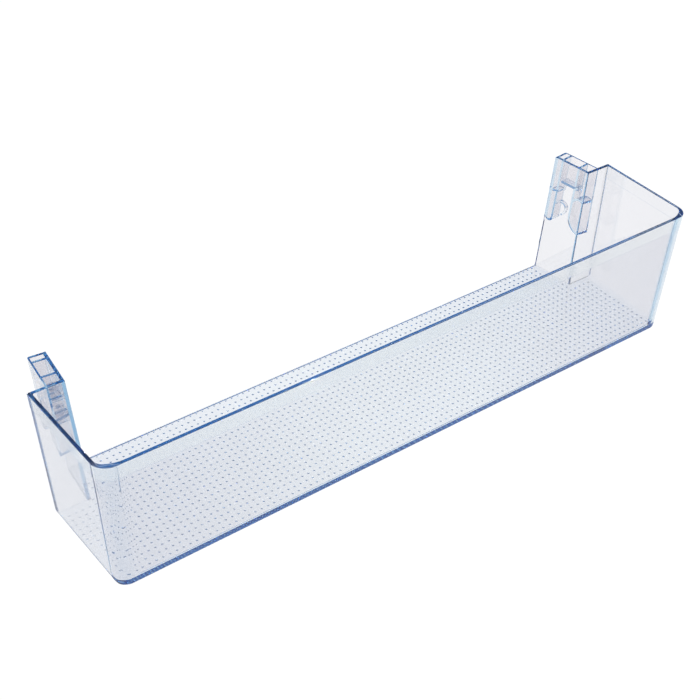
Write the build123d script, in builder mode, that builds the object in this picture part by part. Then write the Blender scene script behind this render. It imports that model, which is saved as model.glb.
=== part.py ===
from build123d import *
import os

os.makedirs("parts", exist_ok=True)

# ---------------------------------------------------------------- dimensions
# millimetres; +X along the shelf, +Y towards the door, +Z up.
# Origin: middle of the underside of the bounding box.
HEIGHT = 101.7          # floor underside to rim
Y_MID = 57.158          # front bottom edge to the origin, along Y
FLOOR_T = 3.0           # floor thickness
WALL_T = 2.35           # front, end and return walls
WING_T = 2.4            # rear wings

# front wall: bottom edge is the datum, the rim leans out
FRONT_LEAN = 1.3
# end walls: half length at the front, bottom and rim, with a slight splay to the rear
END_BOTTOM = 239.1
END_RIM = 244.8
END_SPLAY = 0.0263      # X per Y
# return walls: rear face, bottom and rim
RETURN_BOTTOM = 80.0
RETURN_RIM = 84.3
# wings: inner face, plan slant and lean
WING_X = 219.6          # inner face at the rear edge, rim height
WING_Y_RIM = 114.9      # rear edge at the rim
WING_Y_BOTTOM = 113.6   # rear edge at the floor, also the rear edge of the floor
WING_SLANT = 0.1035     # X lost per Y rearwards
WING_LEAN = 0.0769      # X gained per Z upwards

CORNER_R = (10.0, 11.0) # front plan corners, outside, bottom and rim
CORNER_CUT = (8.0, 4.5)  # the same inside, thicker towards the front: cut along front and end,
CORNER_IN = (19.0, 5.4)  # then rounded at the front and at the end; a little larger at the rim
CORNER_GROW = (1.0, 1.13)
REAR_R = 1.0            # rear plan corners, inside
TURN_R = 1.0            # wing to return wall, inside
EDGE_R = 1.2            # underside edges
ROOT_R = 0.8            # floor to wall, inside
END_EDGE_R = 5.0        # floor to end wall, outside
END_ROOT_R = 2.5        # floor to end and front walls, inside
FRONT_ROOT_X = 234.3    # how far the front one runs, half length
REAR_DRAFT = (0.2, 1.3)     # rear edge of the floor, lower part, forward by, height
WING_DRAFT = (0.2, 1.3)     # rear edge of the wing, outer part, forward by, width
BAND_H = 11.0           # raised band below the rim
BAND_T = 0.2
RIM_R = 0.5             # rim edges

# hook bracket on the outer face of each wing: a rearwards from its datum line,
# d below the rim, s outwards from the wing
BRACKET_Y = 83.4        # datum line, from the front bottom edge
BRACKET_S = 10.0        # depth of the bracket
SKIN_T = 1.2            # outer skin
LEG_R = 1.6             # outer edge of the rear leg
RIB_T = 1.9
ROOT_S = 1.2            # how far the ribs start inside the wing plate
LEG_D = 55.3            # both legs end this far below the rim
REAR_A = (24.2, 31.7)   # rear leg at the rim, outside of its two ribs
REAR_WEB_D = 27.0       # web across the rear leg
FRONT_A = 10.0          # rear face of the front leg
FRONT_R = 13.0          # its rounded foot
WINDOW_D = (22.0, 29.0)     # lug window between the legs: crown and springing of its arch
LEDGE_A = (6.4, 22.9)   # seat ledge over the window
LEDGE_D = (17.0, 19.1)
LEDGE_S = 7.0
CATCH_S = 2.6           # curved catch below the ledge
CATCH_T = 1.6
ARCH_D = (25.8, 30.8)   # arched web across the front leg
ARCH_T = 1.6


# ---------------------------------------------------------------- plan outlines
def mix(low, high, z):
    return low + (high - low) * z / HEIGHT


def front_y(z):
    return mix(0.0, -FRONT_LEAN, z)


def end_x(y, z, inset):
    return mix(END_BOTTOM, END_RIM, z) + END_SPLAY * (y - front_y(z)) - inset


def wing_x(y, z):
    return WING_X - WING_SLANT * (y - WING_Y_RIM) + WING_LEAN * (z - HEIGHT)


def both_sides(right):
    left = [(-x, y) for x, y in reversed(right)]
    return [(x, y - Y_MID) for x, y in right + left]


def outer_outline(z):
    yf, yr, yw = front_y(z), mix(RETURN_BOTTOM, RETURN_RIM, z), mix(WING_Y_BOTTOM, WING_Y_RIM, z)
    return both_sides([
        (end_x(yf, z, 0), yf),
        (end_x(yr, z, 0), yr),
        (wing_x(yr, z) + WING_T, yr),
        (wing_x(yw, z) + WING_T, yw),
    ])


def inner_outline(z):
    yf, yr, yw = front_y(z) + WALL_T, mix(RETURN_BOTTOM, RETURN_RIM, z) - WALL_T, WING_Y_BOTTOM + 12
    cut_x, cut_y = (cut * mix(*CORNER_GROW, z) for cut in CORNER_CUT)
    return both_sides([
        (end_x(yf, z, WALL_T) - cut_x, yf),
        (end_x(yf + cut_y, z, WALL_T), yf + cut_y),
        (end_x(yr, z, WALL_T), yr),
        (wing_x(yr, z), yr),
        (wing_x(yw, z), yw),
    ])


def band_outline(z):
    yf, yr = front_y(z) - BAND_T, mix(RETURN_BOTTOM, RETURN_RIM, z)
    return both_sides([
        (end_x(yf, z, -BAND_T), yf),
        (end_x(yr, z, -BAND_T), yr),
    ])


# ---------------------------------------------------------------- hollow of the tray
TOP = HEIGHT + 2.0
with BuildPart() as hollow:
    for level in (FLOOR_T, TOP):
        with BuildSketch(Plane.XY.offset(level)) as section:
            with BuildLine():
                Polyline(*inner_outline(level), close=True)
            make_face()
            fillet(section.vertices().group_by(Axis.Y)[1], radius=CORNER_IN[1] * mix(*CORNER_GROW, level))
            fillet(section.vertices().group_by(Axis.Y)[0], radius=CORNER_IN[0] * mix(*CORNER_GROW, level))
    loft(ruled=True)
    # rear inside corners of the end walls, then where each wing turns off its return wall
    upright = hollow.edges().filter_by(lambda e: abs((e @ 1 - e @ 0).Z) > 60)
    fillet(upright.filter_by(lambda e: abs(e.center().X) > 230 and e.center().Y > 10), radius=REAR_R)
    upright = hollow.edges().filter_by(lambda e: abs((e @ 1 - e @ 0).Z) > 60)
    fillet(upright.filter_by(lambda e: abs(e.center().X) < 228 and 10 < e.center().Y < 40), radius=TURN_R)
    # floor to wall, all round except the open rear
    root = hollow.edges().filter_by(lambda e: abs(e.center().Z - FLOOR_T) < 0.01 and e.center().Y < WING_Y_BOTTOM + 11 - Y_MID)
    fillet(root, radius=ROOT_R)

# ---------------------------------------------------------------- hook bracket, +X side
# sketch plane on the outer face of the wing: x rearwards, y up, z outwards
WING_FACE = Plane(
    origin=(wing_x(BRACKET_Y, HEIGHT) + WING_T, BRACKET_Y - Y_MID, HEIGHT),
    x_dir=(-WING_SLANT, 1, 0),
    z_dir=(1, WING_SLANT, -WING_LEAN),
)
RIB_ROOT = WING_FACE.offset(-ROOT_S)
A0, A1 = REAR_A
FOOT_R = (A1 - A0) / 2
FOOT_D = LEG_D - FOOT_R     # where the rounded foot of the rear leg starts
FRONT_D = LEG_D - FRONT_R   # the same on the front leg
FRONT_END = -6.0            # runs into the return wall
SKIN_A = A0 + LEG_R         # the skin stops on the flat of the rear leg


with BuildPart() as bracket:
    # rear leg: a narrow pocket, open at the rim, with a rounded foot
    with BuildSketch(RIB_ROOT):
        with BuildLine():
            Polyline((A0, -FOOT_D), (A0, 1), (A1, 1), (A1, -FOOT_D))
            ThreePointArc((A1, -FOOT_D), (A0 + FOOT_R, -LEG_D), (A0, -FOOT_D))
        make_face()
    extrude(amount=ROOT_S + BRACKET_S)
    outer_face = bracket.faces().sort_by(Axis((0, 0, 0), (1, WING_SLANT, -WING_LEAN)))[-1]
    fillet(outer_face.edges().sort_by(Axis.Z)[:-1], radius=LEG_R)
    # front leg: a rib down from the rim that turns into the return wall
    with BuildSketch(RIB_ROOT):
        with BuildLine():
            Polyline((FRONT_A, -FRONT_D), (FRONT_A, 1), (FRONT_A - RIB_T, 1), (FRONT_A - RIB_T, -FRONT_D))
            RadiusArc((FRONT_A - RIB_T, -FRONT_D), (FRONT_A - FRONT_R, RIB_T - LEG_D), FRONT_R - RIB_T)
            Polyline((FRONT_A - FRONT_R, RIB_T - LEG_D), (FRONT_END, RIB_T - LEG_D), (FRONT_END, -LEG_D), (FRONT_A - FRONT_R, -LEG_D))
            RadiusArc((FRONT_A - FRONT_R, -LEG_D), (FRONT_A, -FRONT_D), -FRONT_R)
        make_face()
    extrude(amount=ROOT_S + BRACKET_S)
    # arched web across the front leg
    with BuildSketch(RIB_ROOT):
        with BuildLine():
            ThreePointArc((-3.2, -ARCH_D[1]), (3.2, -ARCH_D[0]), (FRONT_A - 1.2, -ARCH_D[1]))
        trace(line_width=ARCH_T)
    extrude(amount=ROOT_S + BRACKET_S)
    # seat ledge
    with BuildSketch(RIB_ROOT):
        with BuildLine():
            Polyline((LEDGE_A[0], -LEDGE_D[0]), (LEDGE_A[1], -LEDGE_D[0]), (LEDGE_A[1], -LEDGE_D[1]), (LEDGE_A[0], -LEDGE_D[1]), close=True)
        make_face()
    extrude(amount=ROOT_S + LEDGE_S)
    # curved catch below the ledge
    with BuildSketch(RIB_ROOT):
        with BuildLine():
            ThreePointArc((A0 - 0.2, -38.0), (18.8, -34.6), (14.0, -37.4))
            ThreePointArc((14.0, -37.4), (14.4, -41.6), (17.1, -45.3))
        trace(line_width=CATCH_T)
    extrude(amount=ROOT_S + CATCH_S)
    # outer skin with the arched lug window, open downwards
    with BuildSketch(WING_FACE.offset(BRACKET_S - SKIN_T)):
        with BuildLine():
            Polyline((FRONT_A - FRONT_R, -LEG_D), (FRONT_END, -LEG_D), (FRONT_END, 1), (SKIN_A, 1), (SKIN_A, -WINDOW_D[1]), (A0, -WINDOW_D[1]))
            ThreePointArc((A0, -WINDOW_D[1]), ((A0 + FRONT_A) / 2, -WINDOW_D[0]), (FRONT_A, -WINDOW_D[1]))
            Line((FRONT_A, -WINDOW_D[1]), (FRONT_A, -FRONT_D))
            RadiusArc((FRONT_A, -FRONT_D), (FRONT_A - FRONT_R, -LEG_D), FRONT_R)
        make_face()
    extrude(amount=SKIN_T)
    # pocket of the rear leg, in two lengths above and below its web
    P0, P1 = A0 + RIB_T, A1 - RIB_T
    with BuildSketch(WING_FACE):
        with BuildLine():
            Polyline((P0, -REAR_WEB_D), (P0, 2), (P1, 2), (P1, -REAR_WEB_D), close=True)
        make_face()
    extrude(amount=BRACKET_S - SKIN_T, mode=Mode.SUBTRACT)
    with BuildSketch(WING_FACE):
        with BuildLine():
            Polyline((P0, -FOOT_D), (P0, -REAR_WEB_D - RIB_T), (P1, -REAR_WEB_D - RIB_T), (P1, -FOOT_D))
            ThreePointArc((P1, -FOOT_D), (A0 + FOOT_R, RIB_T - LEG_D), (P0, -FOOT_D))
        make_face()
    extrude(amount=BRACKET_S - SKIN_T, mode=Mode.SUBTRACT)
    # flush with the rim
    split(bisect_by=Plane.XY.offset(HEIGHT), keep=Keep.BOTTOM)

# ---------------------------------------------------------------- rolled ends of the floor
LEAN = (END_RIM - END_BOTTOM) / HEIGHT      # of the end walls, X per Z


def rolled_edge(x, z, r, lean=LEAN):
    """Arc of radius r tangent to a level line at z and to the leaning line through (x, z)."""
    k = (1 + lean**2) ** 0.5
    cx, cz = x + lean * r - r * k, z + r
    dx, dz = x - cx, z - cz
    n = (dx**2 + dz**2) ** 0.5
    return (cx, z), (cx + r * dx / n, cz + r * dz / n), (cx + r / k, cz - r * lean / k)


def upright_plane(y):
    return Plane(origin=(0, y - Y_MID, 0), x_dir=(1, 0, 0), z_dir=(0, -1, 0))


# what comes off outside, +X end
with BuildPart() as end_edge:
    with BuildSketch(upright_plane(-10)):
        low, middle, high = rolled_edge(END_BOTTOM - 10 * END_SPLAY, 0, END_EDGE_R)
        far = END_BOTTOM + 12
        with BuildLine():
            ThreePointArc(low, middle, high)
            Polyline(high, (far, high[1]), (far, -3), (low[0], -3), low)
        make_face()
    extrude(amount=105, dir=(END_SPLAY, 1, 0))

# what fills the corner inside, +X end
with BuildPart() as end_root:
    with BuildSketch(upright_plane(5)):
        low, middle, high = rolled_edge(mix(END_BOTTOM, END_RIM, FLOOR_T) + 5 * END_SPLAY - WALL_T, FLOOR_T, END_ROOT_R)
        with BuildLine():
            ThreePointArc(low, middle, high)
            Polyline(high, (high[0] + 1, high[1]), (high[0] + 1, FLOOR_T - 1), (low[0], FLOOR_T - 1), low)
        make_face()
    extrude(amount=RETURN_BOTTOM - 6, dir=(END_SPLAY, 1, 0))

# the same along the front, ending inside the thicker corners
with BuildPart() as front_root:
    with BuildSketch(Plane(origin=(FRONT_ROOT_X, 0, 0), x_dir=(0, -1, 0), z_dir=(-1, 0, 0))):
        low, middle, high = rolled_edge(Y_MID - WALL_T - front_y(FLOOR_T), FLOOR_T, END_ROOT_R, FRONT_LEAN / HEIGHT)
        with BuildLine():
            ThreePointArc(low, middle, high)
            Polyline(high, (high[0] + 1, high[1]), (high[0] + 1, FLOOR_T - 1), (low[0], FLOOR_T - 1), low)
        make_face()
    extrude(amount=2 * FRONT_ROOT_X)

# ---------------------------------------------------------------- drafted rear edges
# floor: the full width
with BuildPart() as floor_draft:
    with BuildSketch(Plane.YZ.offset(-240)):
        top, bottom = mix(WING_Y_BOTTOM, WING_Y_RIM, REAR_DRAFT[1]) - Y_MID, WING_Y_BOTTOM - REAR_DRAFT[0] - Y_MID
        with BuildLine():
            Polyline((top, REAR_DRAFT[1]), (bottom, 0), (bottom, -1), (top + 3, -1), (top + 3, REAR_DRAFT[1]), close=True)
        make_face()
    extrude(amount=480)

# wing below the bracket, +X side
with BuildPart() as wing_draft:
    with BuildSketch():
        x, y = wing_x(WING_Y_BOTTOM, 0), WING_Y_BOTTOM - Y_MID
        with BuildLine():
            near, far = x + WING_T - WING_DRAFT[1], x + WING_T
            Polyline((near, y), (far, y - WING_DRAFT[0]), (far + 2, y - WING_DRAFT[0]), (far + 2, y + 3), (near, y + 3), close=True)
        make_face()
    rise = (WING_Y_RIM - WING_Y_BOTTOM) / HEIGHT
    extrude(amount=HEIGHT - LEG_D - 1, dir=(WING_LEAN - WING_SLANT * rise, rise, 1))

# ---------------------------------------------------------------- tray
with BuildPart() as door_shelf:
    for level in (0.0, HEIGHT):
        with BuildSketch(Plane.XY.offset(level)) as section:
            with BuildLine():
                Polyline(*outer_outline(level), close=True)
            make_face()
            fillet(section.vertices().group_by(Axis.Y)[0], radius=mix(*CORNER_R, level))
    loft(ruled=True)
    # raised band below the rim, round the front and the ends
    for level in (HEIGHT - BAND_H, HEIGHT):
        with BuildSketch(Plane.XY.offset(level)) as section:
            with BuildLine():
                Polyline(*band_outline(level), close=True)
            make_face()
            fillet(section.vertices().group_by(Axis.Y)[0], radius=mix(*CORNER_R, level) + BAND_T)
    loft(ruled=True)
    under = door_shelf.edges().filter_by(lambda e: abs(e.center().Z) < 0.01 and e.center().Y < WING_Y_BOTTOM - 1 - Y_MID)
    fillet(under, radius=EDGE_R)
    add(end_edge.part, mode=Mode.SUBTRACT)
    mirror(end_edge.part, about=Plane.YZ, mode=Mode.SUBTRACT)
    # brackets, both sides
    add(bracket.part)
    mirror(bracket.part, about=Plane.YZ)
    add(hollow.part, mode=Mode.SUBTRACT)
    add(front_root.part)
    add(end_root.part)
    mirror(end_root.part, about=Plane.YZ)
    add(floor_draft.part, mode=Mode.SUBTRACT)
    add(wing_draft.part, mode=Mode.SUBTRACT)
    mirror(wing_draft.part, about=Plane.YZ, mode=Mode.SUBTRACT)
    # rim edges
    rim = door_shelf.edges().filter_by(lambda e: abs(e.center().Z - HEIGHT) < 0.01 and e.center().Y < 20)
    fillet(rim, radius=RIM_R)

door_shelf.part.label = "door_shelf"
export_step(door_shelf.part, "parts/door_shelf.step")
print("solids", len(door_shelf.part.solids()), "bracket", len(bracket.part.solids()), bracket.part.is_valid)
print("volume cm3", door_shelf.part.volume / 1000, "box", door_shelf.part.bounding_box(), door_shelf.part.is_valid)
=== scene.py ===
import math

import bpy
import numpy as np
from mathutils import Matrix, Vector
from mathutils.geometry import delaunay_2d_cdt


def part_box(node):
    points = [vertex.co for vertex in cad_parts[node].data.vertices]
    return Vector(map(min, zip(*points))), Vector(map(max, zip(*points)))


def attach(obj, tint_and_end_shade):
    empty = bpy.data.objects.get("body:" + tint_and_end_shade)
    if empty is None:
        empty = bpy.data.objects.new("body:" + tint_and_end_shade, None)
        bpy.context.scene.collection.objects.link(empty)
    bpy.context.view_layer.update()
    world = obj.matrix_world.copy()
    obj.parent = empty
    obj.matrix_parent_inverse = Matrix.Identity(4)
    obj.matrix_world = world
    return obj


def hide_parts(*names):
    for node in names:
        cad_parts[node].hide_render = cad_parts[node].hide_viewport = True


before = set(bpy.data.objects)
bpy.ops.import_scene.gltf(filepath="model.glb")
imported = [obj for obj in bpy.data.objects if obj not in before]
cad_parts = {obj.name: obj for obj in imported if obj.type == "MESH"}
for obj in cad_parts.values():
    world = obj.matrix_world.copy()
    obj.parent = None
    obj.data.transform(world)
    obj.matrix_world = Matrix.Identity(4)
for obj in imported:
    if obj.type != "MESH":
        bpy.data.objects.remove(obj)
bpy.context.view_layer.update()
low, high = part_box("door_shelf")

BAND_H = 0.0110  # height of the lightly frosted band below the rim

# raised dots on the floor: low round domes on a square grid, in millimetres
FLOOR_Z = 3.0
PITCH = 4.903
DOT_X, DOT_Y = 0.85, -49.258  # one dot of the grid
DOT_R, DOT_H = 0.80, 0.60
DOT_GAP = 0.3  # least distance from a dot to the edge of the flat floor
RINGS, TURNS = 3, 12


# ------------------------------------------------------------------ the moulding, with its dotted floor
def corners_of(mesh):
    """Vertices in millimetres, triangles and the normal at each corner of each triangle."""
    points = np.empty(len(mesh.vertices) * 3, np.float32)
    mesh.vertices.foreach_get("co", points)
    triangles = np.empty(len(mesh.loops), np.int32)
    mesh.loops.foreach_get("vertex_index", triangles)
    normals = np.empty(len(mesh.loops) * 3, np.float32)
    mesh.corner_normals.foreach_get("vector", normals)
    return points.reshape(-1, 3).astype(float) * 1000, triangles.reshape(-1, 3), normals.reshape(-1, 3, 3)


def outline_of(triangles):
    """The loops of vertices round a patch of triangles."""
    sides = {(int(t[i]), int(t[(i + 1) % 3])) for t in triangles for i in range(3)}
    after = {a: b for a, b in sides if (b, a) not in sides}
    loops = []
    while after:
        start, here = next(iter(after.items()))
        loop = [start]
        del after[start]
        while here != start:
            loop.append(here)
            here = after.pop(here)
        loops.append(loop)
    return loops


def room_round(centres, ring):
    """Distance from each centre to the outline, negative outside it."""
    a, b = ring, np.roll(ring, -1, axis=0)
    side = b - a
    off = centres[:, None, :] - a[None]
    along = np.clip((off * side).sum(2) / np.maximum((side * side).sum(1), 1e-12), 0, 1)
    gap = np.linalg.norm(off - along[..., None] * side, axis=2).min(1)
    y = centres[:, None, 1]
    crosses = (a[:, 1] > y) != (b[:, 1] > y)
    rise = np.where(np.abs(side[:, 1]) < 1e-12, 1.0, side[:, 1])
    at = a[:, 0] + (y - a[:, 1]) / rise * side[:, 0]
    inside = (crosses & (centres[:, None, 0] < at)).sum(1) % 2 == 1
    return np.where(inside, gap, -gap)


def dotted_shelf(cad):
    points, triangles, normals = corners_of(cad.data)
    # one vertex a place
    places, index = np.unique(np.round(points, 4), axis=0, return_inverse=True)
    triangles = index.reshape(-1)[triangles]
    real = (triangles[:, 0] != triangles[:, 1]) & (triangles[:, 1] != triangles[:, 2]) & (triangles[:, 2] != triangles[:, 0])
    triangles, normals = triangles[real], normals[real]

    # the flat top of the floor comes out
    corner = places[triangles]
    level = (np.abs(corner[:, :, 2] - FLOOR_Z) < 0.002).all(1)
    area = np.cross(corner[:, 1] - corner[:, 0], corner[:, 2] - corner[:, 0])
    flat = level & (area[:, 2] > 0)
    loops = outline_of(triangles[flat])
    edge = max(loops, key=len)
    ring = places[edge][:, :2]

    # and goes back with a round hole at each dot
    columns = DOT_X + PITCH * np.arange(-60, 61)
    rows = DOT_Y + PITCH * np.arange(-3, 26)
    centres = np.stack(np.meshgrid(columns, rows), -1).reshape(-1, 2)
    centres = centres[room_round(centres, ring) > DOT_R + DOT_GAP]
    angle = np.arange(TURNS) * 2 * math.pi / TURNS
    circle = np.stack([np.cos(angle), np.sin(angle)], 1)
    holes = centres[:, None] + DOT_R * circle[None]
    plan = np.concatenate([ring, holes.reshape(-1, 2)])
    n = len(ring)
    walls = [(i, (i + 1) % n) for i in range(n)]
    for k in range(len(centres)):
        first = n + k * TURNS
        walls += [(first + i, first + (i + 1) % TURNS) for i in range(TURNS)]
    made, _, faces, came_from, _, _ = delaunay_2d_cdt([Vector(q) for q in plan], walls, [], 2, 1e-5)
    to_plan = [came[0] for came in came_from]
    floor_faces = np.array([[to_plan[i] for i in f] for f in faces])
    dot_of = np.where(floor_faces < n, -1 - floor_faces, (floor_faces - n) // TURNS)
    floor_faces = floor_faces[(dot_of != dot_of[:, :1]).any(1)]
    a, b, c = (plan[floor_faces[:, i]] for i in range(3))
    turned = (b[:, 0] - a[:, 0]) * (c[:, 1] - a[:, 1]) - (b[:, 1] - a[:, 1]) * (c[:, 0] - a[:, 0]) < 0
    floor_faces[turned] = floor_faces[turned][:, ::-1]

    # a low dome stands on each hole
    ball = (DOT_R**2 + DOT_H**2) / (2 * DOT_H)
    lean = math.asin(DOT_R / ball) * (1 - np.arange(RINGS + 1) / RINGS)
    dome_points, dome_normals = [], []
    for t in lean[:-1]:
        dome_points.append(np.c_[ball * math.sin(t) * circle, np.full(TURNS, ball * math.cos(t) - ball + DOT_H)])
        dome_normals.append(np.c_[math.sin(t) * circle, np.full(TURNS, math.cos(t))])
    dome_points = np.concatenate(dome_points + [[[0, 0, DOT_H]]])
    dome_normals = np.concatenate(dome_normals + [[[0, 0, 1]]])
    dome_faces = []
    for r in range(RINGS - 1):
        for i in range(TURNS):
            p, q = r * TURNS + i, r * TURNS + (i + 1) % TURNS
            dome_faces += [(p, q, q + TURNS), (p, q + TURNS, p + TURNS)]
    last = (RINGS - 1) * TURNS
    dome_faces += [(last + i, last + (i + 1) % TURNS, RINGS * TURNS) for i in range(TURNS)]
    dome_faces = np.array(dome_faces)

    # all in one closed mesh
    base = len(places)
    extra = len(dome_points) - TURNS
    hole_points = np.c_[holes.reshape(-1, 2), np.full(len(centres) * TURNS, FLOOR_Z)]
    raised = dome_points[None, TURNS:] + np.c_[centres, np.full(len(centres), FLOOR_Z)][:, None]
    vertices = np.concatenate([places, hole_points, raised.reshape(-1, 3)])
    plan_index = np.concatenate([edge, base + np.arange(len(hole_points))])
    dot = np.arange(len(centres))[:, None]
    dome_index = np.concatenate([
        base + dot * TURNS + np.arange(TURNS)[None],
        base + len(hole_points) + dot * extra + np.arange(extra)[None],
    ], axis=1)
    all_faces = np.concatenate([triangles[~flat], plan_index[floor_faces], dome_index[:, dome_faces].reshape(-1, 3)])
    all_normals = np.concatenate([
        normals[~flat].reshape(-1, 3),
        np.tile([0.0, 0.0, 1.0], (len(floor_faces) * 3, 1)),
        np.tile(dome_normals[dome_faces].reshape(-1, 3), (len(centres), 1)),
    ])
    used, again = np.unique(all_faces, return_inverse=True)
    vertices, all_faces = vertices[used] / 1000, again.reshape(-1, 3)

    mesh = bpy.data.meshes.new("moulded_shelf")
    mesh.from_pydata(vertices.tolist(), [], all_faces.tolist())
    mesh.polygons.foreach_set("use_smooth", np.ones(len(all_faces), bool))
    mesh.normals_split_custom_set(all_normals.tolist())
    mesh.update()
    made = bpy.data.objects.new("moulded_shelf", mesh)
    bpy.context.scene.collection.objects.link(made)
    print("dots", len(centres), "triangles", len(all_faces), "outlines", len(loops))
    return made


shelf = dotted_shelf(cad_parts["door_shelf"])
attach(shelf, "root")
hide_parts("door_shelf")


# ------------------------------------------------------------------ small helpers for node trees
def tree_of(name):
    material = bpy.data.materials.new(name)
    material.use_nodes = True
    tree = material.node_tree
    tree.nodes.clear()
    return material, tree


def node(tree, kind, **values):
    made = tree.nodes.new(kind)
    for key, value in values.items():
        if hasattr(made, key):
            setattr(made, key, value)
        else:
            made.inputs[key.replace("_", " ")].default_value = value
    return made


def link(tree, a, out, b, into):
    tree.links.new(a.outputs[out], b.inputs[into])


# ------------------------------------------------------------------ clear, faintly blue moulded plastic
def clear_plastic():
    material, tree = tree_of("clear_blue_plastic")
    place = node(tree, "ShaderNodeTexCoord")

    # faint flow marks in the tint
    flow = node(tree, "ShaderNodeTexNoise", Scale=9.0, Detail=3.0, Roughness=0.5)
    link(tree, place, "Object", flow, "Vector")
    tint = node(tree, "ShaderNodeValToRGB")
    tint.color_ramp.elements[0].position = 0.30
    tint.color_ramp.elements[0].color = (0.978, 0.944, 0.930, 1)
    tint.color_ramp.elements[1].position = 0.70
    tint.color_ramp.elements[1].color = (0.996, 0.962, 0.950, 1)
    link(tree, flow, "Fac", tint, "Fac")

    # painted shade: the tint a little darker towards the ends, standing in for the shade under the shelf, which
    # casts no shadow
    parts = node(tree, "ShaderNodeSeparateXYZ")
    link(tree, place, "Object", parts, "Vector")
    aside = node(tree, "ShaderNodeMath", operation="ABSOLUTE")
    link(tree, parts, "X", aside, 0)
    end_shade = node(tree, "ShaderNodeMapRange")
    end_shade.inputs["From Min"].default_value = 0.06
    end_shade.inputs["From Max"].default_value = 0.235
    link(tree, aside, 0, end_shade, "Value")
    # the flow tint multiplied by the painted shade towards the ends
    tint_and_end_shade = node(tree, "ShaderNodeMix", data_type="RGBA", blend_type="MULTIPLY")
    tint_and_end_shade.inputs[7].default_value = (0.918, 0.912, 0.935, 1)
    link(tree, end_shade, "Result", tint_and_end_shade, 0)
    link(tree, tint, "Color", tint_and_end_shade, 6)

    # polished walls, with a lightly frosted band round the outside below the rim
    height = node(tree, "ShaderNodeMapRange")
    height.inputs["From Min"].default_value = high.z - BAND_H - 0.0002
    height.inputs["From Max"].default_value = high.z - BAND_H + 0.0002
    height.inputs["To Max"].default_value = 0.08
    link(tree, parts, "Z", height, "Value")
    facing = node(tree, "ShaderNodeNewGeometry")
    across = node(tree, "ShaderNodeVectorMath", operation="MULTIPLY")
    across.inputs[1].default_value = (1, 1, 0)
    link(tree, place, "Object", across, 0)
    outwards = node(tree, "ShaderNodeVectorMath", operation="DOT_PRODUCT")
    link(tree, across, "Vector", outwards, 0)
    link(tree, facing, "Normal", outwards, 1)
    outer = node(tree, "ShaderNodeMapRange")
    outer.inputs["From Min"].default_value = 0.035
    outer.inputs["From Max"].default_value = 0.050
    link(tree, outwards, "Value", outer, "Value")
    band = node(tree, "ShaderNodeMath", operation="MULTIPLY")
    link(tree, height, "Result", band, 0)
    link(tree, outer, "Result", band, 1)
    grain = node(tree, "ShaderNodeTexNoise", Scale=160.0, Detail=2.0)
    link(tree, place, "Object", grain, "Vector")
    polish = node(tree, "ShaderNodeMapRange")
    polish.inputs["To Min"].default_value = 0.010
    polish.inputs["To Max"].default_value = 0.035
    link(tree, grain, "Fac", polish, "Value")
    rough = node(tree, "ShaderNodeMath", operation="ADD")
    link(tree, polish, "Result", rough, 0)
    link(tree, band, 0, rough, 1)

    # the frosted band is a little milkier
    milky = node(tree, "ShaderNodeMath", operation="MULTIPLY")
    milky.inputs[1].default_value = 12.0
    link(tree, band, 0, milky, 0)
    paler = node(tree, "ShaderNodeMix", data_type="RGBA", blend_type="MIX")
    paler.inputs[7].default_value = (1.0, 0.975, 0.950, 1)
    link(tree, milky, 0, paler, 0)
    link(tree, tint_and_end_shade, 2, paler, 6)

    shader = node(tree, "ShaderNodeBsdfPrincipled")
    shader.inputs["IOR"].default_value = 1.57
    shader.inputs["Transmission Weight"].default_value = 1.0
    link(tree, paler, 2, shader, "Base Color")
    link(tree, rough, 0, shader, "Roughness")

    # the long way through an edge looks deep blue
    depth = node(tree, "ShaderNodeVolumeAbsorption", Density=34.0)
    depth.inputs["Color"].default_value = (0.03, 0.515, 0.800, 1)

    out = node(tree, "ShaderNodeOutputMaterial")
    link(tree, shader, "BSDF", out, "Surface")
    link(tree, depth, "Volume", out, "Volume")
    return material


shelf.visible_shadow = False
shelf.data.materials.append(clear_plastic())


# ------------------------------------------------------------------ pale floor
def pale_floor():
    material, tree = tree_of("pale_floor")
    place = node(tree, "ShaderNodeTexCoord")
    cloud = node(tree, "ShaderNodeTexNoise", Scale=1.5, Detail=2.0)
    link(tree, place, "Object", cloud, "Vector")
    shade = node(tree, "ShaderNodeValToRGB")
    shade.color_ramp.elements[0].color = (0.90, 0.90, 0.90, 1)
    shade.color_ramp.elements[1].color = (0.93, 0.93, 0.93, 1)
    link(tree, cloud, "Fac", shade, "Fac")
    shader = node(tree, "ShaderNodeBsdfDiffuse")
    link(tree, shade, "Color", shader, "Color")
    out = node(tree, "ShaderNodeOutputMaterial")
    link(tree, shader, "BSDF", out, "Surface")
    return material


half, level = 6.0, low.z - 0.0006
floor_mesh = bpy.data.meshes.new("floor")
floor_mesh.from_pydata(
    [(-half, -half, level), (half, -half, level), (half, half, level), (-half, half, level)],
    [], [(0, 1, 2, 3)],
)
floor = bpy.data.objects.new("floor", floor_mesh)
floor.data.materials.append(pale_floor())
bpy.context.scene.collection.objects.link(floor)

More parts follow.
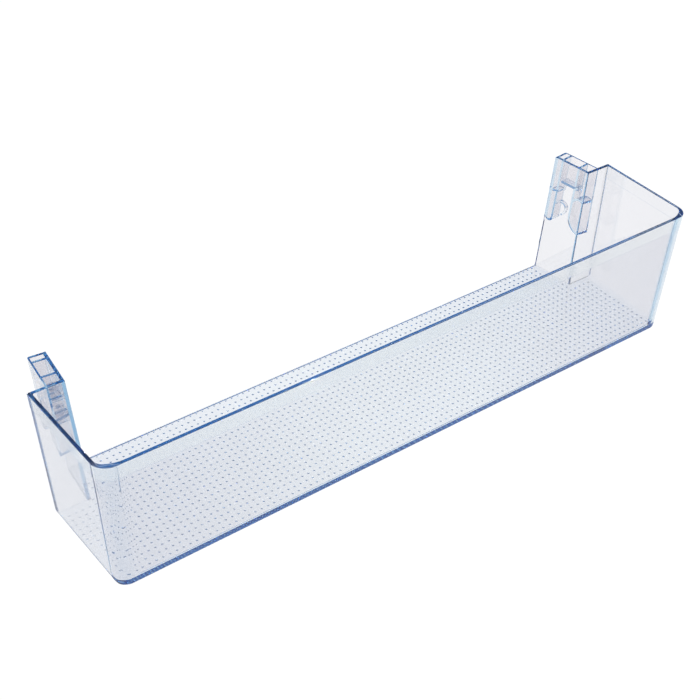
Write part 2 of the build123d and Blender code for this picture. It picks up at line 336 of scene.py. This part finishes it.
# ------------------------------------------------------------------ soft studio light
world = bpy.data.worlds.new("studio")
world.use_nodes = True
bpy.context.scene.world = world
sky = world.node_tree.nodes["Background"]
sky.inputs["Color"].default_value = (0.44, 0.68, 1.0, 1)
sky.inputs["Strength"].default_value = 0.75
world.cycles_visibility.diffuse = False


def soft_box(name, at, towards, size, power, colour=(1, 1, 1)):
    lamp = bpy.data.lights.new(name, "AREA")
    lamp.shape = "RECTANGLE"
    lamp.size, lamp.size_y = size
    lamp.energy = power
    lamp.color = colour
    lamp.cycles.use_multiple_importance_sampling = False
    held = bpy.data.objects.new(name, lamp)
    held.location = at
    held.rotation_mode = "QUATERNION"
    held.rotation_quaternion = (Vector(towards) - Vector(at)).to_track_quat("-Z", "Y")
    bpy.context.scene.collection.objects.link(held)
    return held


soft_box("top_light", (0.2, 0.25, 2.8), (0.2, 0.25, 0), (5.0, 5.0), 180)

# ------------------------------------------------------------------ camera
turn, pitch, roll = math.radians(-38.4163), math.radians(37.9601), math.radians(2.5149)
forward = Vector((-math.sin(turn) * math.cos(pitch), math.cos(turn) * math.cos(pitch), -math.sin(pitch)))
right = Vector((math.cos(turn), math.sin(turn), 0))
up = right.cross(forward)
side = right * math.cos(roll) + up * math.sin(roll)
top = up * math.cos(roll) - right * math.sin(roll)
camera_data = bpy.data.cameras.new("camera")
camera_data.sensor_fit = "AUTO"
camera_data.sensor_width = 36.0
camera_data.lens = 1300.8757 / 700 * 36.0
camera_data.clip_start, camera_data.clip_end = 0.01, 100
camera = bpy.data.objects.new("camera", camera_data)
camera.matrix_world = Matrix((
    (side.x, top.x, -forward.x, -0.464270),
    (side.y, top.y, -forward.y, -0.555140),
    (side.z, top.z, -forward.z, 0.606479),
    (0, 0, 0, 1),
))
bpy.context.scene.collection.objects.link(camera)
bpy.context.scene.camera = camera

# ------------------------------------------------------------------ light paths and colour
scene = bpy.context.scene
scene.view_settings.view_transform = "Standard"
scene.view_settings.look = "None"
scene.cycles.max_bounces = 128
scene.cycles.transmission_bounces = 128
scene.cycles.glossy_bounces = 128
scene.cycles.diffuse_bounces = 3
scene.cycles.transparent_max_bounces = 16
scene.cycles.caustics_reflective = False
scene.cycles.caustics_refractive = False
scene.cycles.sample_clamp_indirect = 8.0
scene.cycles.use_denoising = True
